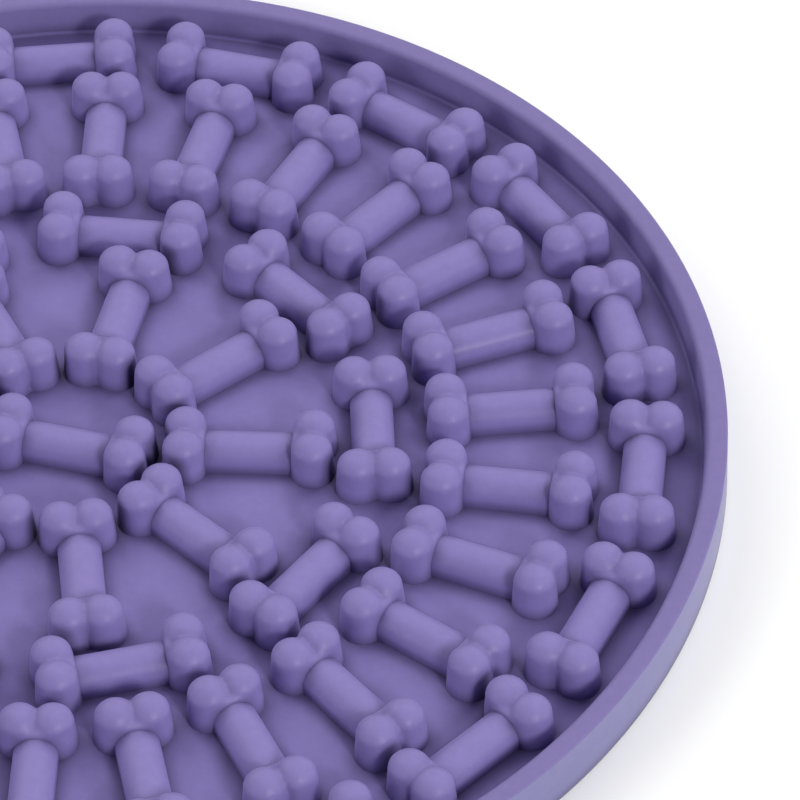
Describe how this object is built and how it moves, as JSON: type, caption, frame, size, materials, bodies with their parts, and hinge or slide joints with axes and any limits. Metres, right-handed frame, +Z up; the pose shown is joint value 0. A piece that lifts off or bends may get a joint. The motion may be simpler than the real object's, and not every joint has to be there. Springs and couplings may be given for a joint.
{
  "type": "lick mat",
  "caption": "Round silicone lick mat: a shallow tray with a raised rim and rings of domed bone shapes that hold spread pet food.",
  "frame": {"origin": "centre of the mat on its flat resting face", "axes": "+Z up out of the tray, +X along the middle bone, +Y across it"},
  "size_m": [0.2, 0.2, 0.0102],
  "materials": {
    "floor_silicone": "matte",
    "rim_silicone": "matte",
    "bone_silicone": "matte"
  },
  "bodies": {
    "root": {"tray_floor": "floor_silicone", "rim": "rim_silicone", "middle_bone": "bone_silicone", "first_ring_bone_1": "bone_silicone", "first_ring_bone_2": "bone_silicone", "first_ring_bone_3": "bone_silicone", "first_ring_bone_4": "bone_silicone", "first_ring_bone_5": "bone_silicone", "first_ring_bone_6": "bone_silicone", "first_ring_bone_7": "bone_silicone", "first_ring_bone_8": "bone_silicone", "first_ring_bone_9": "bone_silicone", "second_ring_bone_1": "bone_silicone", "second_ring_bone_2": "bone_silicone", "second_ring_bone_3": "bone_silicone", "second_ring_bone_4": "bone_silicone", "second_ring_bone_5": "bone_silicone", "second_ring_bone_6": "bone_silicone", "second_ring_bone_7": "bone_silicone", "second_ring_bone_8": "bone_silicone", "second_ring_bone_9": "bone_silicone", "third_ring_bone_1": "bone_silicone", "third_ring_bone_2": "bone_silicone", "third_ring_bone_3": "bone_silicone", "third_ring_bone_4": "bone_silicone", "third_ring_bone_5": "bone_silicone", "third_ring_bone_6": "bone_silicone", "third_ring_bone_7": "bone_silicone", "third_ring_bone_8": "bone_silicone", "third_ring_bone_9": "bone_silicone", "third_ring_bone_10": "bone_silicone", "third_ring_bone_11": "bone_silicone", "third_ring_bone_12": "bone_silicone", "third_ring_bone_13": "bone_silicone", "third_ring_bone_14": "bone_silicone", "third_ring_bone_15": "bone_silicone", "third_ring_bone_16": "bone_silicone", "third_ring_bone_17": "bone_silicone", "third_ring_bone_18": "bone_silicone", "third_ring_bone_19": "bone_silicone", "third_ring_bone_20": "bone_silicone", "third_ring_bone_21": "bone_silicone", "third_ring_bone_22": "bone_silicone", "third_ring_bone_23": "bone_silicone", "third_ring_bone_24": "bone_silicone", "third_ring_bone_25": "bone_silicone", "third_ring_bone_26": "bone_silicone", "fourth_ring_bones_1": "bone_silicone", "fourth_ring_bones_2": "bone_silicone", "fourth_ring_bones_3": "bone_silicone", "fourth_ring_bones_4": "bone_silicone", "fourth_ring_bones_5": "bone_silicone", "fourth_ring_bones_6": "bone_silicone", "fourth_ring_bones_7": "bone_silicone", "fourth_ring_bones_8": "bone_silicone", "fourth_ring_bones_9": "bone_silicone"}
  },
  "joints": []
}
